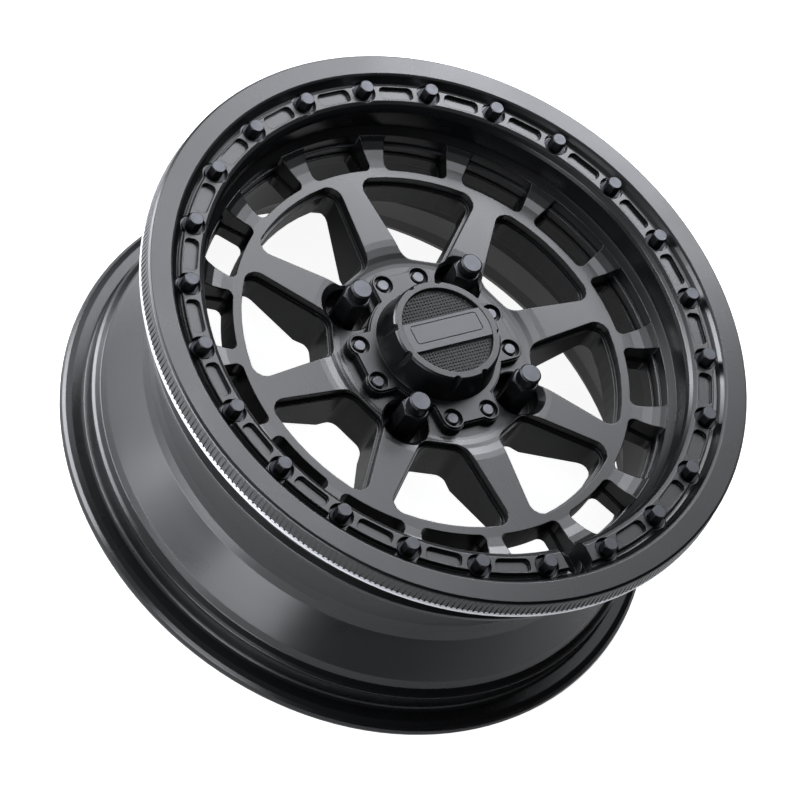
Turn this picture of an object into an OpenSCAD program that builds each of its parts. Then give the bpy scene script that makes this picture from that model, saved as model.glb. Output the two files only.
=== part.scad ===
// Beadlock wheel for a side-by-side or quad: a one-piece cast wheel with eight spokes, a bolted
// outer bead ring and a screwed centre cap.
// Millimetres. The origin is the centre of the hub mounting face, +Z points out of the wheel's
// face, and the slot for the tyre valve is towards -Y.

/* [Hub] */
// diameter of the circle through the wheel studs
stud_circle = 137; // [100:1:160]
// number of wheel studs
stud_count = 4; // [4:1:4]
// diameter of a stud hole
stud_hole = 13.5; // [12.5:0.1:15]
// diameter of the centre bore
centre_bore = 104; // [80:1:106]
// outside diameter of the mounting face
mount_face = 172; // [168:1:178]
// depth of the shallow seat for the centre cap below the spoke fronts
cap_seat_drop = 4; // [2:0.5:6]
// metal left under a wheel nut's pocket
nut_floor = 22; // [18:0.5:26]
// diameter of a wheel nut's pocket
nut_pocket = 35; // [32:0.5:36]

/* [Barrel] */
// rim width between the two clamping faces for the tyre
rim_width = 165.1; // [152.4:0.1:190]
// height of the outer clamping face above the mounting face
clamp_face = 63.6; // [60:0.1:72]
// radius of the rear bead seat
bead_seat = 218.3; // [214:0.1:222]
// height of the rear flange above the bead seat
flange_height = 17.3; // [14:0.1:20]
// thickness of the rear flange
flange_thick = 11.6; // [9:0.1:14]
// depth of the drop centre below the rear bead seat
drop_depth = 28.3; // [24:0.1:30]
// wall of the barrel
barrel_wall = 6; // [4.5:0.25:6.5]
// distance from the rear flange to the end of the rear bead seat
seat_long = 21; // [19:0.5:24]
// length of the cone from the rear bead seat to the drop centre
cone_long = 46; // [40:1:50]

/* [Spokes] */
// depth of the spoke fronts behind the outer clamping face
dish_depth = 21; // [19:0.1:28]
// number of spokes
spoke_count = 8; // [8:1:8]
// distance from the axis to the inner edge of a window
window_in = 78; // [76:0.5:84]
// width of the hoop around the windows
hoop_wide = 6.7; // [5:0.1:12]
// half width of a window at its inner edge
window_half = 16.3; // [12:0.1:17]
// growth of the half width for every millimetre outwards
window_slope = 0.518; // [0.45:0.002:0.53]
// width of the ledge around a window
ledge = 2.5; // [1.5:0.1:3.5]
// depth of the ledge below the spoke fronts
ledge_drop = 8; // [5:0.5:10]
// radius of a window's inner corners
corner_in = 12; // [8:0.5:13]
// radius of a window's outer corners
corner_out = 10; // [6:0.5:12]
// length of a rib from the hoop to the ring's inner edge
rib_long = 31.8; // [28:0.1:36]
// number of short ribs from the hoop to the barrel
rib_count = 16; // [16:8:16]
// thickness of a rib at the hoop
rib_thick = 10.2; // [8:0.1:14]
// width of the lip between the openings and the ring
rib_lip = 5; // [3:0.1:8]
// width of each of the two steps down the wall of an opening
gap_step = 1.8; // [1:0.1:2.4]
// depths of these steps below the spoke fronts
first_step = 3.6; // [2:0.1:5]
second_step = 12.6; // [9:0.1:14]
// depth of the hoop and ribs
hoop_depth = 28; // [20:0.5:32]

/* [Bead ring] */
// height of the ring's edge above the rear bead seat
ring_height = 14.9; // [12:0.1:18]
// width of the ring from its inner to its outer edge
ring_wide = 46.2; // [44:0.1:47]
// thickness of the ring over the tyre bead
ring_thick = 18; // [16:0.2:20]
// depth of the ring's inner body behind the tyre bead face
ring_body = 9; // [6:0.5:12]
// distance from the ring's inner edge to the middle of a bolt
bolt_inset = 14.3; // [13:0.1:15]
// number of ring bolts
bolt_count = 24; // [24:1:24]
// diameter of a counterbore for a ring bolt
counterbore = 18.4; // [17:0.1:19]
// drop from the ring's face to the pocketed band
band_drop = 3.3; // [2:0.1:4]
// depth of a counterbore below the ring's face
counterbore_drop = 7; // [6:0.1:9]
// length of an oblong pocket
pocket_long = 27; // [20:0.5:30]
// width of an oblong pocket
pocket_wide = 10.6; // [8:0.1:11]
// depth of an oblong pocket
pocket_deep = 3; // [1:0.25:4]
// width of the slot for the tyre valve
valve_slot = 21; // [14:0.5:24]
// diameter of the hole for the tyre valve
valve_hole = 11.5; // [10:0.1:12]
// distance from the ring's inner edge to the middle of the valve hole
valve_inset = 9.5; // [8:0.1:11]
// diameter of the flat seat around the valve hole
valve_seat_d = 16; // [14:0.25:17]
// metal between the valve's two seats
valve_wall = 7; // [5:0.5:9]
// depth of the valve's pocket in the barrel
valve_drop = 27.6; // [24:0.2:30]

/* [Ring bolts] */
// nominal thread diameter
bolt_d = 6; // [5:0.5:6]
// width across the flats of the head
bolt_flats = 10; // [9:0.5:11]
// height of the head
bolt_head = 9.8; // [4:0.1:11]
// length under the head
bolt_length = 34; // [28:1:38]
// outside diameter of a washer
washer_d = 15.4; // [12:0.1:16.5]
// thickness of a washer
washer_thick = 1.4; // [1:0.1:2]

/* [Wheel nuts] */
// nominal thread diameter of a wheel nut
nut_thread = 12; // [10:0.5:12]
// width across the flats of a wheel nut
nut_flats = 19; // [17:0.5:21]
// diameter of the round end of a wheel nut
nut_end_d = 16.6; // [14:0.1:17]
// height of the hexagon above the pocket's floor
nut_hex_height = 35.6; // [20:0.2:40]
// height of the round end above the hexagon
nut_end_height = 9.3; // [4:0.1:14]

/* [Centre cap] */
// radius of the circle through the cap screws
screw_circle_r = 60; // [58:0.5:62]
// distance between the two screws of a pair
screw_pair = 31; // [28:0.5:34]
// thickness of the cap's flange
cap_flange = 7; // [5.5:0.25:9]
// radius of a lobe around a screw
lobe_r = 9.5; // [8.5:0.25:10.5]
// radius of the dome at the flange
dome_foot_r = 46.5; // [45:0.5:48]
// radius of the dome at its top
dome_top_r = 41; // [40:0.5:43]
// height of the dome above the flange
dome_height = 23; // [16:0.5:28]
// radius of the recess for the badge
badge_r = 35.6; // [34:0.2:37]
// depth of the badge's face below the dome's top
badge_drop = 3; // [2:0.25:5]
// thickness of the badge
badge_thick = 2; // [1.5:0.25:3]
// width of the bar across the badge
bar_wide = 23.4; // [18:0.2:28]
// length of the plain field on the bar
field_long = 58; // [48:0.5:62]
// width of the plain field on the bar
field_wide = 15.6; // [10:0.2:17]
// diameter of a cap screw's head
screw_head_d = 9.8; // [8:0.1:11]
// diameter of a cap screw's counterbore
screw_bore_d = 14.6; // [12:0.1:15]
// thread diameter of a cap screw
screw_d = 5; // [4:0.5:6]

/* [Hidden] */

$fn = 96;
eps = 0.01;
// clearance between parts that slide into each other
fit_gap = 0.15;
steel = [0.10, 0.10, 0.11];
satin = [0.16, 0.16, 0.17];

// radii
flange_r = bead_seat + flange_height;
drop_r = bead_seat - drop_depth;
ring_r = bead_seat + ring_height;
ring_in = ring_r - ring_wide;
bolt_circle_r = ring_in + bolt_inset;
valve_r = ring_in + valve_inset;
hoop_out = ring_in - rib_long;
window_out = hoop_out - hoop_wide;
lip_in = ring_in - rib_lip;
front_seat = bead_seat - 4.1;
bolt_hole_r = bolt_d / 2 + 0.3;
stud_r = stud_hole / 2;
stud_circle_r = stud_circle / 2;
window_pitch = 360 / spoke_count;
rib_pitch = 360 / rib_count;
rib_gap = 2 * hoop_out * sin(rib_pitch / 2) - rib_thick;
bolt_pitch = 360 / bolt_count;
// clearance around the lobes of the cap in its seat
cap_seat_r = screw_circle_r + lobe_r + 3;
valve_turn = -90;

// heights above the mounting face
flange_face = clamp_face - rim_width;
spoke_front = clamp_face - dish_depth;
ring_face = clamp_face + ring_thick;
ring_back = clamp_face - ring_body;
band_face = ring_face - band_drop;
washer_seat = ring_face - counterbore_drop;
head_seat = washer_seat + washer_thick;
cap_seat = spoke_front - cap_seat_drop;
cap_face = cap_seat + cap_flange;
dome_top = cap_face + dome_height;
badge_face = dome_top - badge_drop;
// radius of a flute in the dome and its lean towards the axis, for a cut of 1.8 at the top
flute_r = 3.2;
flute_tilt = atan((dome_foot_r - dome_top_r + 1.8) / (dome_height - 4));
hoop_back = spoke_front - hoop_depth;
valve_top = ring_back - valve_drop;

// ends of the cone between the rear bead seat and the drop centre
cone_foot = flange_face + seat_long;
cone_top = cone_foot + cone_long;
// inner wall of the barrel behind the spokes
barrel_in = drop_r - barrel_wall;
// rise of the ribs where they curve up into the barrel
rib_rise = min(10.5, ring_back - 1.5 - spoke_front);
// lowest point of a rib at the barrel
rib_foot = min(hoop_back + 5, spoke_front - 17);
// line where the ribs meet the barrel, from the back to the front
wall_line = [
    [lip_in - 2 * gap_step, rib_foot],
    [lip_in - 2 * gap_step, spoke_front - second_step],
    [lip_in - gap_step, spoke_front - second_step],
    [lip_in - gap_step, spoke_front - first_step],
    [lip_in, spoke_front - first_step],
    [lip_in, spoke_front + 0.66 * rib_rise]];
// 60 degree cone seat of a wheel nut
seat_deep = 6.5;
seat_grow = seat_deep * tan(30);
// distance of a cap screw from the middle of its pair's line to the axis
screw_x = sqrt(pow(screw_circle_r, 2) - pow(screw_pair / 2, 2));
// depth of a cap screw's counterbore
screw_sink = 3.6;
// length of a cap screw under its head
screw_long = 14;

// unit vector from p to q
function dir(p, q) = (q - p) / norm(q - p);
// points of a fillet of radius r at corner p between its neighbours a and b
function fillet(a, p, b, r, n = 5) =
    let (u = dir(p, a), v = dir(p, b), half = acos(u * v) / 2,
        mid = p + (u + v) / norm(u + v) * r / sin(half),
        start = p + u * r / tan(half),
        finish = p + v * r / tan(half))
    [for (i = [0 : n])
        let (w = start * (1 - i / n) + finish * (i / n))
        mid + dir(mid, w) * r];
// half width of a window at distance x, for an outline moved in by g
function window_side(x, g) =
    window_half + window_slope * (x - window_in) - g * sqrt(1 + window_slope * window_slope);
// distance along the window's centre line where its side meets the outer arc of radius r
function window_corner(r, g) =
    let (k = window_slope, c = window_side(0, g),
        b = k * c, a = 1 + k * k)
    (-b + sqrt(b * b - a * (c * c - r * r))) / a;
// outline of a window moved in by g
function window_outline(g) =
    let (r = window_out - g, xi = window_in + g, xo = window_corner(r, g),
        yi = window_side(xi, g), yo = window_side(xo, g),
        turn = atan2(yo, xo), arc = [for (i = [1 : 7]) turn * (4 - i) / 4],
        a1 = [for (t = arc) r * [cos(t), sin(t)]],
        p = [xi, -yi], q = [xo, -yo], s = [xo, yo], t = [xi, yi])
    concat(
        fillet(t, p, q, corner_in - g),
        fillet(p, q, a1[6], corner_out - g),
        [for (i = [5 : -1 : 1]) a1[i]],
        fillet(a1[0], s, t, corner_out - g),
        fillet(s, t, p, corner_in - g));

// outline of an opening between two ribs, with its sides moved in by g, out to radius r
function gap_outline(g, r) =
    let (half = rib_gap / 2 - g, far = asin(half / r), near = asin(half / hoop_out),
        a = [for (i = [0 : 6]) r * [cos(far * (3 - i) / 3), sin(far * (3 - i) / 3)]],
        b = [for (i = [0 : 6]) hoop_out * [cos(near * (i - 3) / 3), sin(near * (i - 3) / 3)]])
    concat(
        fillet(b[6], a[0], a[1], 5, 4),
        [for (i = [1 : 5]) a[i]],
        fillet(a[5], a[6], b[0], 5, 4),
        fillet(a[6], b[0], b[1], 5, 4),
        [for (i = [1 : 5]) b[i]],
        fillet(b[5], b[6], a[0], 5, 4));

module around(count, radius, start = 0) {
    for (i = [0 : count - 1])
        rotate([0, 0, start + i * 360 / count])
            translate([radius, 0, 0])
                children();
}

// Puts its children at the cap screws, at height z.
module at_screws(z) {
    for (i = [0 : 3])
        for (side = [-1, 1])
            rotate([0, 0, i * 90])
                translate([screw_x, side * screw_pair / 2, z])
                    children();
}

// A hexagonal prism with its flats on the X sides.
module hexagon(flats, height) {
    rotate([0, 0, 30])
        cylinder(r = flats / sqrt(3), h = height, $fn = 6);
}

// A slot from the inside of the rim out to a round end about radius r, and from height z up.
module slot(r, wide, z) {
    translate([0, 0, z])
        linear_extrude(height = ring_face + 1 - z) {
            translate([lip_in - 10, -wide / 2])
                square([r - lip_in + 10, wide]);
            translate([r, 0])
                circle(d = wide, $fn = 48);
        }
}

// The barrel: bead seats, drop centre and rear flange turned on one cast tube.
module barrel() {
    seat_end = ring_back - 14;
    rotate_extrude($fn = 144)
        polygon(concat([
            [ring_in - 2.4, spoke_front + 0.83 * rib_rise],
            [ring_in, spoke_front + rib_rise],
            [ring_in + 1.5, ring_back],
            [front_seat - 1.6, ring_back],
            [front_seat, ring_back - 1.6],
            [front_seat + 0.6, seat_end],
            [bead_seat + 1, seat_end - 4],
            [bead_seat + 1, seat_end - 7],
            [bead_seat - 3, seat_end - 11],
            [drop_r + 8, seat_end - 24],
            [drop_r + 2, seat_end - 31],
            [drop_r, seat_end - 37],
            [drop_r, cone_top + 6],
            [drop_r + 0.8, cone_top - 2],
            [drop_r + 3.4, cone_top - 9],
            [bead_seat - 7.5, cone_foot + 6],
            [bead_seat - 5, cone_foot],
            [bead_seat - 1.4, cone_foot - 2.2],
            [bead_seat + 0.5, cone_foot - 4],
            [bead_seat + 0.5, cone_foot - 5.6],
            [bead_seat - 1.1, cone_foot - 8],
            [bead_seat, flange_face + 2.6],
            [bead_seat + 0.9, flange_face + 0.9],
            [bead_seat + 2.6, flange_face],
            [flange_r - 7, flange_face - 0.3],
            [flange_r - 3, flange_face - 1.6],
            [flange_r - 0.7, flange_face - 4],
            [flange_r, flange_face - 7],
            [flange_r - 0.8, flange_face - flange_thick + 2],
            [flange_r - 2.8, flange_face - flange_thick],
            [bead_seat + 3, flange_face - flange_thick],
            [bead_seat + 1, flange_face - flange_thick + 1.5],
            [bead_seat - barrel_wall - 1, flange_face + 2],
            [bead_seat - barrel_wall - 6, cone_foot - 2],
            [barrel_in, cone_top - 1],
            [barrel_in, rib_foot - 9]],
            wall_line));
}

// The hub, spokes, hoop and ribs before anything is cut out of them.
module disc() {
    rotate_extrude($fn = 144)
        polygon(concat([
            [centre_bore / 2, 0],
            [mount_face / 2, 0],
            [mount_face / 2 + 8, -1.5],
            [window_out - 14, hoop_back - 1],
            [window_out - 3, hoop_back],
            [hoop_out + 2, hoop_back + 3]],
            wall_line, [
            [ring_in - 9, spoke_front + 0.42 * rib_rise],
            [ring_in - 15, spoke_front + 0.18 * rib_rise],
            [ring_in - 22, spoke_front + 0.05 * rib_rise],
            [hoop_out + 2, spoke_front],
            [cap_seat_r + 22, spoke_front],
            [cap_seat_r + 17, spoke_front - 0.1 * cap_seat_drop],
            [cap_seat_r + 11, spoke_front - 0.4 * cap_seat_drop],
            [cap_seat_r + 7, spoke_front - 0.7 * cap_seat_drop],
            [cap_seat_r + 3, spoke_front - 0.93 * cap_seat_drop],
            [cap_seat_r, cap_seat],
            [centre_bore / 2, cap_seat]]));
}

module windows() {
    for (i = [0 : spoke_count - 1])
        rotate([0, 0, (i + 0.5) * window_pitch]) {
            translate([0, 0, spoke_front - ledge_drop])
                linear_extrude(height = ledge_drop + 1)
                    polygon(window_outline(0));
            translate([0, 0, flange_face])
                linear_extrude(height = spoke_front - flange_face)
                    polygon(window_outline(ledge));
        }
}

module rib_openings() {
    step = spoke_front - second_step - 0.6;
    for (i = [0 : rib_count - 1])
        rotate([0, 0, i * rib_pitch]) {
            translate([0, 0, step])
                linear_extrude(height = ring_face - step)
                    polygon(gap_outline(0, lip_in + 1.5));
            translate([0, 0, hoop_back - 20])
                linear_extrude(height = step - hoop_back + 21)
                    polygon(gap_outline(gap_step, lip_in - 2 * gap_step + 1.5));
        }
}

module nut_pockets() {
    around(stud_count, stud_circle_r, 45) {
        translate([0, 0, nut_floor])
            cylinder(d = nut_pocket, h = spoke_front, $fn = 64);
        translate([0, 0, cap_seat - 1])
            cylinder(d1 = nut_pocket, d2 = nut_pocket + 12, h = 6, $fn = 64);
        translate([0, 0, nut_floor - seat_deep])
            cylinder(r1 = stud_r, r2 = stud_r + seat_grow, h = seat_deep + eps, $fn = 48);
        translate([0, 0, -1])
            cylinder(r = stud_r, h = nut_floor, $fn = 48);
    }
}

module wheel_centre() {
    color(satin)
        difference() {
            disc();
            windows();
            rib_openings();
            nut_pockets();
            at_screws(cap_seat - screw_long)
                cylinder(r = screw_d / 2 + fit_gap, h = screw_long + 6, $fn = 24);
        }
}

module wheel_barrel() {
    color(satin)
        difference() {
            barrel();
            around(bolt_count, bolt_circle_r, bolt_pitch / 2)
                translate([0, 0, ring_back - 16])
                    cylinder(r = bolt_d / 2 + fit_gap, h = 20, $fn = 24);
            // pocket, hole and rear seat for the tyre valve
            rotate([0, 0, valve_turn]) {
                slot(valve_r, valve_slot, ring_back - 12);
                slot(valve_r, valve_seat_d + 1, valve_top);
                translate([valve_r, 0, valve_top - valve_wall - 1])
                    cylinder(d = valve_hole, h = valve_wall + 2, $fn = 40);
                translate([valve_r, 0, valve_top - valve_wall - 30])
                    cylinder(d = valve_seat_d, h = 30, $fn = 40);
            }
        }
}

// The ring: turned all round, then milled for the bolts, pockets and valve.
module ring_solid() {
    rotate_extrude($fn = 144)
        polygon([
            [ring_in, ring_back],
            [ring_in, band_face - 7],
            [ring_in + 1.2, band_face - 3.8],
            [ring_in + 3.3, band_face - 1.3],
            [ring_in + 6, band_face],
            [ring_in + 18.7, band_face],
            [ring_in + 19.2, band_face - 0.5],
            [ring_in + 19.2, band_face - 2.9],
            [ring_in + 20.4, band_face - 3.1],
            [ring_in + 22.4, band_face - 2.4],
            [ring_in + 24.6, band_face - 0.4],
            [ring_in + 26.6, ring_face - 0.9],
            [ring_in + 28.4, ring_face],
            [ring_r - 2.9, ring_face],
            [ring_r - 1.5, ring_face - 1.3],
            [ring_r - 1.2, ring_face - 2],
            [ring_r - 1.2, clamp_face + 5],
            [ring_r, clamp_face + 4.2],
            [ring_r, clamp_face + 1.6],
            [ring_r - 1.4, clamp_face],
            [front_seat - 0.4, clamp_face],
            [front_seat - 1.6, clamp_face - 1.2],
            [front_seat - 1.6, ring_back]]);
}

// A plate of rounded corners, long in Y.
module oblong(long, wide, r, deep) {
    linear_extrude(height = deep) {
        square([wide - 2 * r, long], center = true);
        square([wide, long - 2 * r], center = true);
        for (x = [-1, 1])
            for (y = [-1, 1])
                translate([x * (wide / 2 - r), y * (long / 2 - r)])
                    circle(r = r, $fn = 32);
    }
}

module beadlock_ring() {
    color(satin)
        difference() {
            ring_solid();
            around(bolt_count, bolt_circle_r, bolt_pitch / 2) {
                translate([0, 0, washer_seat])
                    cylinder(d = counterbore, h = counterbore_drop + 1, $fn = 48);
                translate([0, 0, ring_back - 1])
                    cylinder(r = bolt_hole_r, h = ring_thick + ring_body, $fn = 24);
            }
            for (i = [1 : bolt_count - 1])
                rotate([0, 0, valve_turn + i * bolt_pitch])
                    translate([bolt_circle_r - 1.9, 0, band_face - pocket_deep])
                        oblong(pocket_long, pocket_wide, 4, pocket_deep + 5);
            rotate([0, 0, valve_turn]) {
                slot(valve_r, valve_slot, ring_back - 1);
                slot(valve_r + 6.5, valve_slot, clamp_face + 1);
            }
        }
}

module ring_washers() {
    color(steel)
        around(bolt_count, bolt_circle_r, bolt_pitch / 2)
            translate([0, 0, washer_seat])
                difference() {
                    cylinder(d = washer_d, h = washer_thick, $fn = 40);
                    translate([0, 0, -1])
                        cylinder(r = bolt_hole_r, h = 5, $fn = 24);
                }
}

module ring_bolt() {
    intersection() {
        hexagon(bolt_flats, bolt_head);
        // chamfer of the top of the head
        cylinder(r1 = bolt_flats / 2 * 0.95 + bolt_head * 1.8,
            r2 = bolt_flats / 2 * 0.95, h = bolt_head, $fn = 40);
    }
    translate([0, 0, -bolt_length])
        cylinder(d = bolt_d, h = bolt_length + eps, $fn = 24);
}

module ring_bolts() {
    color(steel)
        around(bolt_count, bolt_circle_r, bolt_pitch / 2)
            translate([0, 0, head_seat])
                ring_bolt();
}

module wheel_nut() {
    hex_r = nut_flats / sqrt(3);
    difference() {
        union() {
            translate([0, 0, 0.5 - seat_deep])
                cylinder(r1 = stud_r + 0.25, r2 = stud_r + seat_grow - 0.03, h = seat_deep - 0.5, $fn = 48);
            intersection() {
                hexagon(nut_flats, nut_hex_height);
                cylinder(r1 = nut_flats / 2 * 0.96 + nut_hex_height * 1.7,
                    r2 = nut_flats / 2 * 0.96, h = nut_hex_height, $fn = 48);
            }
            translate([0, 0, nut_hex_height - eps])
                cylinder(d = nut_end_d, h = nut_end_height - 1, $fn = 48);
            translate([0, 0, nut_hex_height + nut_end_height - 1 - 2 * eps])
                cylinder(d1 = nut_end_d, d2 = nut_end_d - 2.4, h = 1, $fn = 48);
        }
        translate([0, 0, -7])
            cylinder(d = nut_thread, h = nut_hex_height, $fn = 32);
    }
}

module wheel_nuts() {
    color(steel)
        around(stud_count, stud_circle_r, 45)
            translate([0, 0, nut_floor])
                wheel_nut();
}

module flange_outline(grow) {
    difference() {
        union() {
            circle(r = dome_foot_r + 5.5 + grow, $fn = 96);
            for (i = [0 : 3])
                rotate(i * 90) {
                    translate([0, -screw_pair / 2])
                        square([screw_x + lobe_r - 3 + grow, screw_pair]);
                    translate([0, -screw_pair / 2 - lobe_r - grow])
                        square([screw_x, screw_pair + 2 * lobe_r + 2 * grow]);
                    for (s = [-1, 1])
                        translate([screw_x, s * screw_pair / 2])
                            circle(r = lobe_r + grow, $fn = 48);
                }
        }
        for (i = [0 : 3])
            rotate(45 + i * 90)
                translate([stud_circle_r + 5.5, 0])
                    circle(r = nut_pocket / 2 + 3 - grow, $fn = 64);
    }
}

module centre_cap() {
    color(satin)
        difference() {
            union() {
                translate([0, 0, cap_seat])
                    linear_extrude(height = cap_flange - 2)
                        flange_outline(0);
                translate([0, 0, cap_seat])
                    linear_extrude(height = cap_flange)
                        flange_outline(-1);
                translate([0, 0, cap_face - 1])
                    rotate_extrude($fn = 128)
                        polygon([
                            [0, 0],
                            [dome_foot_r, 0],
                            [dome_foot_r, 1],
                            [dome_top_r + 0.8, dome_height - 0.4],
                            [dome_top_r - 0.4, dome_height + 1],
                            [0, dome_height + 1]]);
            }
            // hollow behind the dome
            translate([0, 0, cap_seat - 1])
                rotate_extrude($fn = 96)
                    polygon([
                        [0, 0],
                        [dome_foot_r - 4, 0],
                        [dome_top_r - 4, dome_height + cap_flange - badge_drop - badge_thick - 2],
                        [0, dome_height + cap_flange - badge_drop - badge_thick - 2]]);
            // recess for the badge
            translate([0, 0, badge_face - badge_thick])
                cylinder(r = badge_r, h = 20, $fn = 96);
            at_screws(cap_face - screw_sink)
                cylinder(d = screw_bore_d, h = screw_sink + 1, $fn = 40);
            at_screws(cap_seat - 1)
                cylinder(r = screw_d / 2 + fit_gap, h = cap_flange, $fn = 24);
            // flutes that cut the dome's top edge and fade out down its side
            for (i = [0 : 3])
                for (s = [-1, 1])
                    rotate([0, 0, i * 90 + s * 16.5])
                        translate([dome_foot_r + flute_r, 0, cap_face + 4])
                            rotate([0, -flute_tilt, 0])
                                cylinder(r = flute_r, h = 2 * dome_height, $fn = 32);
        }
}

module cap_badge() {
    color(steel)
        translate([0, 0, badge_face - badge_thick])
            cylinder(r = badge_r - fit_gap, h = badge_thick, $fn = 96);
}

module badge_bar() {
    r = badge_r - fit_gap;
    color(satin)
        translate([0, 0, badge_face])
            intersection() {
                cylinder(r = r, h = badge_drop - 0.4, $fn = 96);
                difference() {
                    translate([-r, -bar_wide / 2, 0])
                        cube([2 * r, bar_wide, badge_drop - 0.4]);
                    // line cut around the plain field of the bar
                    translate([0, 1.6, badge_drop - 1])
                        rotate([0, 0, 90])
                            difference() {
                                oblong(field_long, field_wide, 2.6, 2);
                                translate([0, 0, -1])
                                    oblong(field_long - 1.4, field_wide - 1.4, 1.9, 4);
                            }
                }
            }
}

module cap_screws() {
    color(steel)
        at_screws(cap_face - screw_sink) {
            cylinder(d = screw_head_d, h = 2, $fn = 40);
            translate([0, 0, 2 - eps])
                cylinder(d1 = screw_head_d, d2 = screw_head_d - 1.8, h = 0.9, $fn = 40);
            translate([0, 0, -screw_long])
                cylinder(d = screw_d, h = screw_long + eps, $fn = 24);
        }
}

wheel_centre();
wheel_barrel();
beadlock_ring();
ring_washers();
ring_bolts();
wheel_nuts();
centre_cap();
cap_badge();
badge_bar();
cap_screws();
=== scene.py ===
import math

import bmesh
import bpy
from mathutils import Matrix, Vector


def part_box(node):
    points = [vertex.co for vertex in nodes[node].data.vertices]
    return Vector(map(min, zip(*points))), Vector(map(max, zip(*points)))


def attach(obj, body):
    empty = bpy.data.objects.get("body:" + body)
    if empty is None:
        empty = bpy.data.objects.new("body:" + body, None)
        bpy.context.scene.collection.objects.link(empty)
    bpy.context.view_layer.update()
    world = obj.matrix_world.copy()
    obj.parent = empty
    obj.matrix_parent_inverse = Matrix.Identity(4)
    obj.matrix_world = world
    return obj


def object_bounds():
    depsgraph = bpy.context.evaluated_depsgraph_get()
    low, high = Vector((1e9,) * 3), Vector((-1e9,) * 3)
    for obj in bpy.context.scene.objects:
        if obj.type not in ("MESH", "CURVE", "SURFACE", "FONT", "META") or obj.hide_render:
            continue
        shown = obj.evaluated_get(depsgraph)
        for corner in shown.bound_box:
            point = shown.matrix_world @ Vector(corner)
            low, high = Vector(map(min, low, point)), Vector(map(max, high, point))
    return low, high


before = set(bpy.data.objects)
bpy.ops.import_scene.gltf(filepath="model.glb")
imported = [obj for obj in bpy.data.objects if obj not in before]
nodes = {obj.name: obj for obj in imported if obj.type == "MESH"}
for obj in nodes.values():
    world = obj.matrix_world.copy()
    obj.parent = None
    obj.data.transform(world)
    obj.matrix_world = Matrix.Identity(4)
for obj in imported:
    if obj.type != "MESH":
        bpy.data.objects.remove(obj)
cad_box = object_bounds()
scene = bpy.context.scene


# Camera: the wheel lies on its rear flange and is seen from over its face, with the picture
# turned so that the axis leans to the upper right. The long lens keeps the circles nearly true.
LENS_MM = 199.02
SENSOR_MM = 36
VIEW_DEPTH = 20
CAM_RIGHT = Vector((0.822595, -0.432921, 0.368669))
CAM_UP = Vector((0.206284, 0.831379, 0.516000))
CAM_BACK = Vector((-0.529891, -0.348409, 0.773193))
CAM_AT = Vector((-1.724828, -1.135757, 2.489801))
camera_data = bpy.data.cameras.new("camera")
camera_data.lens = LENS_MM
camera_data.sensor_width = SENSOR_MM
camera_data.clip_end = VIEW_DEPTH
camera_data.dof.use_dof = False
camera = bpy.data.objects.new("camera", camera_data)
scene.collection.objects.link(camera)
camera_turn = Matrix((CAM_RIGHT, CAM_UP, CAM_BACK)).transposed().to_4x4()
camera.matrix_world = Matrix.Translation(CAM_AT) @ camera_turn
scene.camera = camera
scene.view_settings.view_transform = "Standard"


# Studio floor: a pale seamless sheet that carries the wheel's soft shadow. The camera sees it
# white, and the coating mirrors it as a darker sheet, which keeps the coating black.
FLOOR_WHITE = "#eeeeee"
FLOOR_GLOW = 0.92
FLOOR_IN_COAT = 0.2
FLOOR_HALF = 8


def colour(hex_code):
    """An sRGB hex code as linear RGBA."""
    parts = [int(hex_code[i:i + 2], 16) / 255 for i in (1, 3, 5)]
    return tuple(p / 12.92 if p <= 0.04045 else ((p + 0.055) / 1.055) ** 2.4 for p in parts) + (1.0,)


def add_node(tree, kind, settings=None, inputs=None, links=None):
    """Adds one node to a tree, with its settings, input values and the sockets linked into it."""
    node = tree.nodes.new(kind)
    for key, value in (settings or {}).items():
        setattr(node, key, value)
    for key, value in (inputs or {}).items():
        node.inputs[key].default_value = value
    for key, socket in (links or {}).items():
        tree.links.new(socket, node.inputs[key])
    return node


def new_material(name):
    """An empty node material and its tree."""
    material = bpy.data.materials.new(name)
    material.use_nodes = True
    material.node_tree.nodes.clear()
    return material, material.node_tree


def levels_by_ray(tree, in_coat, to_camera):
    """A brightness for what is mirrored and another for the camera, and a mark for both rays."""
    path = add_node(tree, "ShaderNodeLightPath")
    level = add_node(tree, "ShaderNodeMapRange", inputs={"To Min": in_coat, "To Max": to_camera},
                     links={0: path.outputs["Is Camera Ray"]})
    mirrored = add_node(tree, "ShaderNodeMath", {"operation": "MAXIMUM"},
                        links={0: path.outputs["Is Glossy Ray"],
                               1: path.outputs["Is Transmission Ray"]})
    either = add_node(tree, "ShaderNodeMath", {"operation": "MAXIMUM"},
                      links={0: path.outputs["Is Camera Ray"], 1: mirrored.outputs[0]})
    return level.outputs[0], either.outputs[0]


floor_paint, tree = new_material("matte_white_floor")
level, either = levels_by_ray(tree, FLOOR_IN_COAT, FLOOR_GLOW)
matte = add_node(tree, "ShaderNodeBsdfDiffuse", inputs={"Color": colour(FLOOR_WHITE)})
glow = add_node(tree, "ShaderNodeEmission", links={"Strength": level})
both = add_node(tree, "ShaderNodeAddShader", links={0: matte.outputs[0], 1: glow.outputs[0]})
seen = add_node(tree, "ShaderNodeMixShader",
                links={0: either, 1: matte.outputs[0], 2: both.outputs[0]})
add_node(tree, "ShaderNodeOutputMaterial", links={0: seen.outputs[0]})
floor_z = cad_box[0][2]
corners = [(x * FLOOR_HALF, y * FLOOR_HALF, floor_z) for x, y in ((-1, -1), (1, -1), (1, 1), (-1, 1))]
floor_mesh = bpy.data.meshes.new("floor")
floor_mesh.from_pydata(corners, [], [(0, 1, 2, 3)])
floor_mesh.materials.append(floor_paint)
floor = bpy.data.objects.new("floor", floor_mesh)
scene.collection.objects.link(floor)


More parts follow.
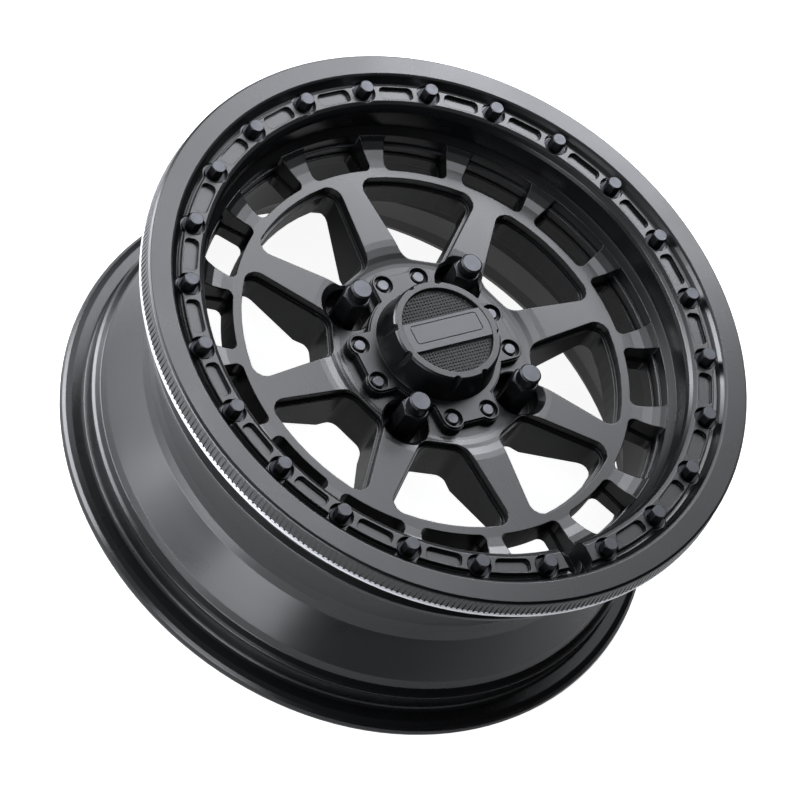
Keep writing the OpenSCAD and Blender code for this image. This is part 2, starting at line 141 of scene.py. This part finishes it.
# Studio room: white to the camera and nearly dark in the coating, so that only the lamps and
# cards below draw light shapes on the wheel. ROOM_FILL is the little light the room gives.
ROOM_IN_COAT = 0.03
ROOM_FILL = 0.01
room = bpy.data.worlds.new("white_room")
scene.world = room
room.use_nodes = True
tree = room.node_tree
tree.nodes.clear()
level, either = levels_by_ray(tree, ROOM_IN_COAT, 1.0)
white = add_node(tree, "ShaderNodeBackground", links={"Strength": level})
dim = add_node(tree, "ShaderNodeBackground", inputs={"Strength": ROOM_FILL})
seen = add_node(tree, "ShaderNodeMixShader",
                links={0: either, 1: dim.outputs[0], 2: white.outputs[0]})
add_node(tree, "ShaderNodeOutputWorld", links={0: seen.outputs[0]})


# Lamps: soft boxes and cards on stands round the wheel, slightly cool. The keys light the
# face of the wheel, the wall cards its inner wall, and the low cards the barrel from the side.
LAMP_TINT = (0.93, 0.945, 1.0)
KEY, SMALL_KEY = (0.4, 0.4), (0.3, 0.3)
TOP_CARD, WALL_CARD, LOW_CARD = (0.9, 0.9), (0.8, 0.6), (0.68, 0.5)
SHEET_SIZE = (0.5, 0.5)
SHEET_RADIANCE = 15.3
SHEET_X = -0.78
SHEET_LIFT = 0.01


def soft_box(name, place, target, size, radiance):
    """A rectangular studio lamp at a place, facing a target. Its power follows from its brightness
    and its area, so a card keeps its look when its size changes."""
    lamp = bpy.data.lights.new(name, "AREA")
    lamp.shape = "RECTANGLE"
    lamp.size, lamp.size_y = size
    lamp.energy = radiance * math.pi * size[0] * size[1]
    lamp.color = LAMP_TINT
    holder = bpy.data.objects.new(name, lamp)
    scene.collection.objects.link(holder)
    facing = (Vector(place) - Vector(target)).to_track_quat("Z", "Y").to_matrix().to_4x4()
    holder.matrix_world = Matrix.Translation(Vector(place)) @ facing


# Each row: bearing and height in degrees, distance in metres, size in metres and brightness.
for name, bearing, height, distance, size, radiance in (
        ("low_key", 33, 36, 1.25, KEY, 10.5),
        ("side_key", 52, 40, 1.25, KEY, 6.4),
        ("high_key", 60, 60, 1.25, KEY, 5.4),
        ("mid_key", 30, 62, 1.25, SMALL_KEY, 4.0),
        ("right_key", 14, 50, 1.25, KEY, 1.4),
        ("top_card", 0, 88, 1.4, TOP_CARD, 0.35),
        ("wall_card", 90, 45, 1.3, WALL_CARD, 1.9),
        ("step_card", 180, 48, 1.3, WALL_CARD, 0.5),
        ("upper_card", 135, 38, 1.3, WALL_CARD, 1.0),
        ("barrel_card", 120, 12, 1.3, LOW_CARD, 13.5),
        ("second_barrel_card", 150, 12, 1.3, LOW_CARD, 11.5),
        ("front_card", 210, 12, 1.3, LOW_CARD, 8.4)):
    turn, tilt = math.radians(bearing), math.radians(height)
    out, up = distance * math.cos(tilt), distance * math.sin(tilt)
    soft_box(name, (out * math.cos(turn), out * math.sin(turn), up), (0, 0, 0), size, radiance)
soft_box("sheet_on_floor", (SHEET_X, 0, floor_z + SHEET_LIFT), (SHEET_X, 0, floor_z + 1),
         SHEET_SIZE, SHEET_RADIANCE)


# Wheel casting: cast aluminium, machined where it meets the tyre, the ring and the hub, and
# powder coated satin black. The coating flows round every edge, so edges show as soft lines.
CAST_BLACK = "#0c0d0f"
CAST_ROUGHNESS = 0.28
CAST_EDGE_MM = 1.1
COAT_IOR = 1.58
COAT_DEEP = 0.8
PEEL_PER_M, PEEL_DEPTH, PEEL_STRENGTH = 900.0, 0.0004, 0.02
CLOUD_PER_M = 14.0
CLOUD_LOW, CLOUD_HIGH = 0.3, 0.7
COAT_SMOOTHER, COAT_ROUGHER = 0.03, 0.04
EDGE_SAMPLES = 8


def satin_coat(name, shade, roughness, edge_mm):
    """A baked satin coating. The film rounds the edges and leaves orange peel 1.1 mm from crest to
    crest, and its tone and gloss drift over about 70 mm, so that no large face looks flat."""
    coat, tree = new_material(name)
    place = add_node(tree, "ShaderNodeTexCoord")
    peel = add_node(tree, "ShaderNodeTexNoise", inputs={"Scale": PEEL_PER_M, "Detail": 2.0},
                    links={"Vector": place.outputs["Object"]})
    cloud = add_node(tree, "ShaderNodeTexNoise", inputs={"Scale": CLOUD_PER_M, "Detail": 3.0},
                     links={"Vector": place.outputs["Object"]})
    edge = add_node(tree, "ShaderNodeBevel", {"samples": EDGE_SAMPLES}, {"Radius": edge_mm / 1000})
    bump = add_node(tree, "ShaderNodeBump", inputs={"Strength": PEEL_STRENGTH, "Distance": PEEL_DEPTH},
                    links={"Height": peel.outputs[0], "Normal": edge.outputs[0]})
    gloss = add_node(tree, "ShaderNodeMapRange",
                     inputs={"From Min": CLOUD_LOW, "From Max": CLOUD_HIGH,
                             "To Min": roughness - COAT_SMOOTHER,
                             "To Max": roughness + COAT_ROUGHER},
                     links={"Value": cloud.outputs[0]})
    deep = tuple(c * COAT_DEEP for c in colour(shade)[:3]) + (1.0,)
    tone = add_node(tree, "ShaderNodeMix", {"data_type": "RGBA"}, {6: deep, 7: colour(shade)},
                    {0: cloud.outputs[0]})
    skin = add_node(tree, "ShaderNodeBsdfPrincipled", {"name": "skin"},
                    {"Metallic": 0.0, "IOR": COAT_IOR},
                    {"Base Color": tone.outputs[2], "Roughness": gloss.outputs[0],
                     "Normal": bump.outputs[0]})
    add_node(tree, "ShaderNodeOutputMaterial", {"name": "surface"}, links={0: skin.outputs[0]})
    return coat


casting_coat = satin_coat("satin_black_coated_cast_aluminium", CAST_BLACK, CAST_ROUGHNESS, CAST_EDGE_MM)
for name in ("wheel_centre", "wheel_barrel"):
    nodes[name].material_slots[0].material = casting_coat


# Step edges: the wall of each opening between two ribs goes down in two steps, cast with the
# wheel. The pattern's edges were rounded, so each step's edge catches a thin highlight, which a
# paler coat on the rounding paints lighter.
OPENING_COUNT = 16
EDGE_ROUND = 0.001
EDGE_FINE, ROUND_FINE = 14, 12
# The middle of the rounding lies this far inside both faces, so it stands 0.3 mm out of each.
EDGE_OFFSET = 0.7 * EDGE_ROUND
# Each row: the edge, its radius, its height and half the angle that it spans, in degrees.
STEP_EDGES = (("high_step_edges", 0.1802, 0.0390, 7.85), ("low_step_edges", 0.1784, 0.0300, 7.0))

# The rounding gets a paler and glossier coat than the casting: its pale shade is a painted highlight on
# each step's edge.
painted_highlight_edge_coat = satin_coat("satin_black_coat_with_painted_edge_highlight", shade="#3c3d40", roughness=0.22, edge_mm=0.1)


def geometry_tree(name, sockets):
    """An empty geometry tree with named inputs and one geometry output."""
    tree = bpy.data.node_groups.new(name, "GeometryNodeTree")
    tree.interface.new_socket("Geometry", in_out="OUTPUT", socket_type="NodeSocketGeometry")
    for label, kind in sockets:
        tree.interface.new_socket(label, in_out="INPUT", socket_type="NodeSocket" + kind)
    return tree, tree.nodes.new("NodeGroupInput").outputs, tree.nodes.new("NodeGroupOutput").inputs


def round_the_axis(tree, count, shape):
    """Copies a shape evenly round the wheel's axis, as real geometry."""
    points = add_node(tree, "GeometryNodeMeshCircle", inputs={"Radius": 0.0}, links={"Vertices": count})
    index = add_node(tree, "GeometryNodeInputIndex")
    share = add_node(tree, "ShaderNodeMath", {"operation": "DIVIDE"},
                     links={0: index.outputs[0], 1: count})
    angle = add_node(tree, "ShaderNodeMath", {"operation": "MULTIPLY"}, {1: 2 * math.pi},
                     {0: share.outputs[0]})
    spin = add_node(tree, "ShaderNodeCombineXYZ", links={2: angle.outputs[0]})
    copies = add_node(tree, "GeometryNodeInstanceOnPoints",
                      links={"Points": points.outputs[0], "Instance": shape,
                             "Rotation": spin.outputs[0]})
    return add_node(tree, "GeometryNodeRealizeInstances", links={0: copies.outputs[0]}).outputs[0]


def end_tree(tree, shape, finish, result):
    """Gives the whole shape its material and makes it the tree's result."""
    painted = add_node(tree, "GeometryNodeSetMaterial", links={"Geometry": shape, "Material": finish})
    tree.links.new(painted.outputs[0], result)


def to_piece(tree, values, name, material):
    """Runs a geometry tree with its named inputs set and keeps the result as a plain piece."""
    blank = bpy.data.meshes.new(name + "_blank")
    maker = bpy.data.objects.new(name + "_maker", blank)
    scene.collection.objects.link(maker)
    modifier = maker.modifiers.new("maker", "NODES")
    modifier.node_group = tree
    values = {**values, "Finish": material}
    for item in tree.interface.items_tree:
        if item.item_type == "SOCKET" and item.in_out == "INPUT":
            modifier[item.identifier] = values[item.name]
    bpy.context.view_layer.update()
    made = maker.evaluated_get(bpy.context.evaluated_depsgraph_get())
    mesh = bpy.data.meshes.new_from_object(made)
    mesh.name = name
    bpy.data.objects.remove(maker)
    # A tree can leave faces turned inwards, so all of them are turned outwards.
    shell = bmesh.new()
    shell.from_mesh(mesh)
    bmesh.ops.recalc_face_normals(shell, faces=shell.faces)
    shell.to_mesh(mesh)
    shell.free()
    mesh.materials.clear()
    mesh.materials.append(material)
    piece = bpy.data.objects.new(name, mesh)
    scene.collection.objects.link(piece)
    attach(piece, "root")
    return piece


tree, given, result = geometry_tree("step_edges", [
    ("Openings", "Int"), ("Radius", "Float"), ("Height", "Float"), ("Half angle", "Float"),
    ("Round", "Float"), ("Finish", "Material")])
start = add_node(tree, "ShaderNodeMath", {"operation": "MULTIPLY"}, {1: -1.0}, {0: given["Half angle"]})
sweep = add_node(tree, "ShaderNodeMath", {"operation": "MULTIPLY"}, {1: 2.0}, {0: given["Half angle"]})
arc = add_node(tree, "GeometryNodeCurveArc", inputs={"Resolution": EDGE_FINE},
               links={"Radius": given["Radius"], "Start Angle": start.outputs[0],
                      "Sweep Angle": sweep.outputs[0]})
section = add_node(tree, "GeometryNodeCurvePrimitiveCircle", inputs={"Resolution": ROUND_FINE},
                   links={"Radius": given["Round"]})
bead = add_node(tree, "GeometryNodeCurveToMesh", inputs={"Fill Caps": True},
                links={"Curve": arc.outputs[0], "Profile Curve": section.outputs[0]})
lift = add_node(tree, "ShaderNodeCombineXYZ", links={2: given["Height"]})
raised = add_node(tree, "GeometryNodeTransform",
                  links={"Geometry": bead.outputs[0], "Translation": lift.outputs[0]})
all_round = round_the_axis(tree, given["Openings"], raised.outputs[0])
end_tree(tree, all_round, given["Finish"], result[0])
for name, step_radius, step_height, half_angle in STEP_EDGES:
    edges = to_piece(tree, {"Openings": OPENING_COUNT, "Radius": step_radius + EDGE_OFFSET,
                            "Height": step_height - EDGE_OFFSET,
                            "Half angle": math.radians(half_angle), "Round": EDGE_ROUND},
                     name, painted_highlight_edge_coat)
    edges.data.shade_smooth()


# Bead ring: a turned and milled aluminium ring, coated like the casting. Its outermost edge is
# turned once more after coating, which leaves it bare and bright and bares the tooth ends too.
RING_EDGE_MM = 0.7
BARE_RADIUS = 0.23293
BARE_ALUMINIUM = "#dcdde0"
TURNING_PER_M = 2600.0
TURNED_SMOOTH, TURNED_ROUGH = 0.24, 0.38
ring_coat = satin_coat("satin_black_coat_with_bare_turned_edge", CAST_BLACK, CAST_ROUGHNESS, RING_EDGE_MM)
tree = ring_coat.node_tree
place = add_node(tree, "ShaderNodeTexCoord")
split = add_node(tree, "ShaderNodeSeparateXYZ", links={0: place.outputs["Object"]})
flat = add_node(tree, "ShaderNodeCombineXYZ", links={0: split.outputs[0], 1: split.outputs[1]})
radius = add_node(tree, "ShaderNodeVectorMath", {"operation": "LENGTH"}, links={0: flat.outputs[0]})
bare = add_node(tree, "ShaderNodeMath", {"operation": "GREATER_THAN"}, {1: BARE_RADIUS},
                {0: radius.outputs["Value"]})
# The tool left grooves 0.4 mm apart round the edge, which the eye sees as bands of gloss.
along = add_node(tree, "ShaderNodeMath", {"operation": "MULTIPLY"}, {1: TURNING_PER_M},
                 {0: split.outputs[2]})
grooves = add_node(tree, "ShaderNodeCombineXYZ", links={2: along.outputs[0]})
streak = add_node(tree, "ShaderNodeTexNoise", inputs={"Scale": 1.0, "Detail": 2.0},
                  links={"Vector": grooves.outputs[0]})
turned = add_node(tree, "ShaderNodeMapRange", inputs={"To Min": TURNED_SMOOTH, "To Max": TURNED_ROUGH},
                  links={"Value": streak.outputs[0]})
metal = add_node(tree, "ShaderNodeBsdfPrincipled",
                 inputs={"Base Color": colour(BARE_ALUMINIUM), "Metallic": 1.0},
                 links={"Roughness": turned.outputs[0]})
mixed = add_node(tree, "ShaderNodeMixShader",
                 links={0: bare.outputs[0], 1: tree.nodes["skin"].outputs[0], 2: metal.outputs[0]})
tree.links.new(mixed.outputs[0], tree.nodes["surface"].inputs[0])
nodes["beadlock_ring"].material_slots[0].material = ring_coat


# Edge teeth: a straight knurl rolled round the ring's outer wall. The teeth stand highest next
# to the bare edge and fade out towards the ring's face. At one a degree they are about 4 mm
# apart, which is coarser than a rolled knurl, so that they show.
TOOTH_COUNT = 360
TOOTH_FOOT_RADIUS = 0.2316
TOOTH_CREST_RADIUS = 0.233
TOOTH_WIDTH = 0.0033
TOOTH_FROM, TOOTH_TO = 0.0681, 0.0790
# A crest drops 0.09 mm for each mm towards the face and is a fifth narrower than its foot.
TOOTH_FADE = 0.09
TOOTH_PINCH = -0.2
tree, given, result = geometry_tree("knurl", [
    ("Teeth", "Int"), ("Foot radius", "Float"), ("Crest radius", "Float"), ("Width", "Float"),
    ("From", "Float"), ("To", "Float"), ("Fade", "Float"), ("Pinch", "Float"), ("Finish", "Material")])
tall = add_node(tree, "ShaderNodeMath", {"operation": "SUBTRACT"},
                links={0: given["Crest radius"], 1: given["Foot radius"]})
long = add_node(tree, "ShaderNodeMath", {"operation": "SUBTRACT"},
                links={0: given["To"], 1: given["From"]})
middle = add_node(tree, "ShaderNodeMath", {"operation": "MULTIPLY_ADD"}, {1: 0.5},
                  {0: long.outputs[0], 2: given["From"]})
reach = add_node(tree, "ShaderNodeMath", {"operation": "MULTIPLY_ADD"}, {1: 0.5},
                 {0: tall.outputs[0], 2: given["Foot radius"]})
size = add_node(tree, "ShaderNodeCombineXYZ",
                links={0: tall.outputs[0], 1: given["Width"], 2: long.outputs[0]})
block = add_node(tree, "GeometryNodeMeshCube", links={"Size": size.outputs[0]})
seat = add_node(tree, "ShaderNodeCombineXYZ", links={0: reach.outputs[0], 2: middle.outputs[0]})
moved = add_node(tree, "GeometryNodeTransform",
                 links={"Geometry": block.outputs[0], "Translation": seat.outputs[0]})
here = add_node(tree, "GeometryNodeInputPosition")
parts = add_node(tree, "ShaderNodeSeparateXYZ", links={0: here.outputs[0]})
crest = add_node(tree, "FunctionNodeCompare", {"operation": "GREATER_THAN"},
                 links={0: parts.outputs[0], 1: reach.outputs[0]})
rise = add_node(tree, "ShaderNodeMath", {"operation": "SUBTRACT"},
                links={0: given["From"], 1: parts.outputs[2]})
lower = add_node(tree, "ShaderNodeMath", {"operation": "MULTIPLY"},
                 links={0: rise.outputs[0], 1: given["Fade"]})
pinch = add_node(tree, "ShaderNodeMath", {"operation": "MULTIPLY"},
                 links={0: parts.outputs[1], 1: given["Pinch"]})
shift = add_node(tree, "ShaderNodeCombineXYZ", links={0: lower.outputs[0], 1: pinch.outputs[0]})
tooth = add_node(tree, "GeometryNodeSetPosition",
                 links={"Geometry": moved.outputs[0], "Selection": crest.outputs[0],
                        "Offset": shift.outputs[0]})
all_round = round_the_axis(tree, given["Teeth"], tooth.outputs[0])
end_tree(tree, all_round, given["Finish"], result[0])
to_piece(tree, {"Teeth": TOOTH_COUNT, "Foot radius": TOOTH_FOOT_RADIUS,
                "Crest radius": TOOTH_CREST_RADIUS, "Width": TOOTH_WIDTH, "From": TOOTH_FROM,
                "To": TOOTH_TO, "Fade": TOOTH_FADE, "Pinch": TOOTH_PINCH},
         "ring_edge_teeth", ring_coat)


# Washers and bolts: hexagon-headed steel bolts hold the ring, each on a flat steel washer. Both
# are zinc plated and passivated black, and the stamped washer is the duller of the two.
STEEL_CLOUD_PER_M = 160.0
STEEL_SMOOTHER, STEEL_ROUGHER = 0.05, 0.06


def plated_steel(name, shade, roughness, edge_mm):
    """Dark plating on steel: a metal with soft edges and gloss that is uneven over 6 mm."""
    plate, tree = new_material(name)
    place = add_node(tree, "ShaderNodeTexCoord")
    cloud = add_node(tree, "ShaderNodeTexNoise", inputs={"Scale": STEEL_CLOUD_PER_M, "Detail": 3.0},
                     links={"Vector": place.outputs["Object"]})
    edge = add_node(tree, "ShaderNodeBevel", {"samples": EDGE_SAMPLES}, {"Radius": edge_mm / 1000})
    gloss = add_node(tree, "ShaderNodeMapRange",
                     inputs={"From Min": CLOUD_LOW, "From Max": CLOUD_HIGH,
                             "To Min": roughness - STEEL_SMOOTHER,
                             "To Max": roughness + STEEL_ROUGHER},
                     links={"Value": cloud.outputs[0]})
    skin = add_node(tree, "ShaderNodeBsdfPrincipled",
                    inputs={"Base Color": colour(shade), "Metallic": 1.0},
                    links={"Roughness": gloss.outputs[0], "Normal": edge.outputs[0]})
    add_node(tree, "ShaderNodeOutputMaterial", links={0: skin.outputs[0]})
    return plate


washer_zinc = plated_steel("dark_zinc_plated_washer_steel", shade="#303134", roughness=0.44, edge_mm=0.3)
bolt_zinc = plated_steel("black_zinc_plated_bolt_steel", shade="#4a4b4e", roughness=0.38, edge_mm=0.5)
nodes["ring_washers"].material_slots[0].material = washer_zinc
nodes["ring_bolts"].material_slots[0].material = bolt_zinc


# Wheel nuts: long closed steel nuts, turned from hexagon bar and black chromed, which makes
# them a little brighter than the coating round them.
nut_chrome = plated_steel("black_chromed_nut_steel", shade="#4c4d50", roughness=0.40, edge_mm=0.6)
nodes["wheel_nuts"].material_slots[0].material = nut_chrome


# Centre cap: a machined aluminium cap with the same satin coating as the wheel, held on the hub
# by eight small round-headed steel screws with dark plating.
cap_coat = satin_coat("satin_black_coated_cap", shade="#101113", roughness=0.30, edge_mm=0.7)
screw_plating = plated_steel("dark_plated_screw_steel", shade="#5a5b5e", roughness=0.40, edge_mm=0.4)
nodes["centre_cap"].material_slots[0].material = cap_coat
nodes["cap_screws"].material_slots[0].material = screw_plating


# Badge: a round plate of glass cloth set in black resin, glued into the cap. The strands go one
# over and one under. They are drawn as small pillows 2.5 mm apart, coarser than cloth, to show.
WEAVE_PITCH = 0.0025
WEAVE_RADIUS = 0.0345
BAR_HALF = 0.0121
PILLOW = (0.43, 0.21, 0.30)
PILLOW_SIDES, PILLOW_RINGS = 8, 4
badge_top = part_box("cap_badge")[1][2]
cells = 2 * int(WEAVE_RADIUS / WEAVE_PITCH) + 2

# The resin lies deep and dull between the strands, and the strands' crests catch the light.
badge_resin = satin_coat("black_resin_behind_weave", shade="#060607", roughness=0.6, edge_mm=0.2)
strand = satin_coat("woven_glass_fibre_strand_in_black_resin", shade="#131416", roughness=0.40, edge_mm=0.1)
nodes["cap_badge"].material_slots[0].material = badge_resin
tree, given, result = geometry_tree("weave", [
    ("Cells", "Int"), ("Pitch", "Float"), ("Radius", "Float"), ("Bar half", "Float"),
    ("Top", "Float"), ("Finish", "Material")])
span = add_node(tree, "ShaderNodeMath", {"operation": "MULTIPLY"},
                links={0: given["Cells"], 1: given["Pitch"]})
count = add_node(tree, "ShaderNodeMath", {"operation": "ADD"}, {1: 1.0}, {0: given["Cells"]})
grid = add_node(tree, "GeometryNodeMeshGrid",
                links={"Size X": span.outputs[0], "Size Y": span.outputs[0],
                       "Vertices X": count.outputs[0], "Vertices Y": count.outputs[0]})
here = add_node(tree, "GeometryNodeInputPosition")
parts = add_node(tree, "ShaderNodeSeparateXYZ", links={0: here.outputs[0]})
away = add_node(tree, "ShaderNodeVectorMath", {"operation": "LENGTH"}, links={0: here.outputs[0]})
inside = add_node(tree, "FunctionNodeCompare", {"operation": "LESS_THAN"},
                  links={0: away.outputs["Value"], 1: given["Radius"]})
side = add_node(tree, "ShaderNodeMath", {"operation": "ABSOLUTE"}, links={0: parts.outputs[1]})
clear = add_node(tree, "FunctionNodeCompare", {"operation": "GREATER_THAN"},
                 links={0: side.outputs[0], 1: given["Bar half"]})
kept = add_node(tree, "FunctionNodeBooleanMath", {"operation": "AND"},
                links={0: inside.outputs[0], 1: clear.outputs[0]})
total = add_node(tree, "ShaderNodeMath", {"operation": "ADD"},
                 links={0: parts.outputs[0], 1: parts.outputs[1]})
steps = add_node(tree, "ShaderNodeMath", {"operation": "DIVIDE"},
                 links={0: total.outputs[0], 1: given["Pitch"]})
whole = add_node(tree, "ShaderNodeMath", {"operation": "ROUND"}, links={0: steps.outputs[0]})
odd = add_node(tree, "ShaderNodeMath", {"operation": "FLOORED_MODULO"}, {1: 2.0}, {0: whole.outputs[0]})
quarter = add_node(tree, "ShaderNodeMath", {"operation": "MULTIPLY"}, {1: math.pi / 2},
                   {0: odd.outputs[0]})
spin = add_node(tree, "ShaderNodeCombineXYZ", links={2: quarter.outputs[0]})
ball = add_node(tree, "GeometryNodeMeshUVSphere",
                inputs={"Segments": PILLOW_SIDES, "Rings": PILLOW_RINGS}, links={"Radius": given["Pitch"]})
pillow = add_node(tree, "GeometryNodeTransform", inputs={"Scale": PILLOW},
                  links={"Geometry": ball.outputs[0]})
cloth = add_node(tree, "GeometryNodeInstanceOnPoints",
                 links={"Points": grid.outputs[0], "Selection": kept.outputs[0],
                        "Instance": pillow.outputs[0], "Rotation": spin.outputs[0]})
real = add_node(tree, "GeometryNodeRealizeInstances", links={0: cloth.outputs[0]})
lift = add_node(tree, "ShaderNodeCombineXYZ", links={2: given["Top"]})
laid = add_node(tree, "GeometryNodeTransform",
                links={"Geometry": real.outputs[0], "Translation": lift.outputs[0]})
end_tree(tree, laid.outputs[0], given["Finish"], result[0])
weave = to_piece(tree, {"Cells": cells, "Pitch": WEAVE_PITCH, "Radius": WEAVE_RADIUS,
                        "Bar half": BAR_HALF, "Top": badge_top},
                 "badge_weave", strand)
weave.data.shade_smooth()


# Badge bar: a moulded bar fixed across the weave, with a plain framed field. It is painted in a
# satin mid grey, the lightest finish on the cap.
bar_paint = satin_coat("satin_grey_painted_bar", shade="#47484b", roughness=0.42, edge_mm=0.25)
nodes["badge_bar"].material_slots[0].material = bar_paint
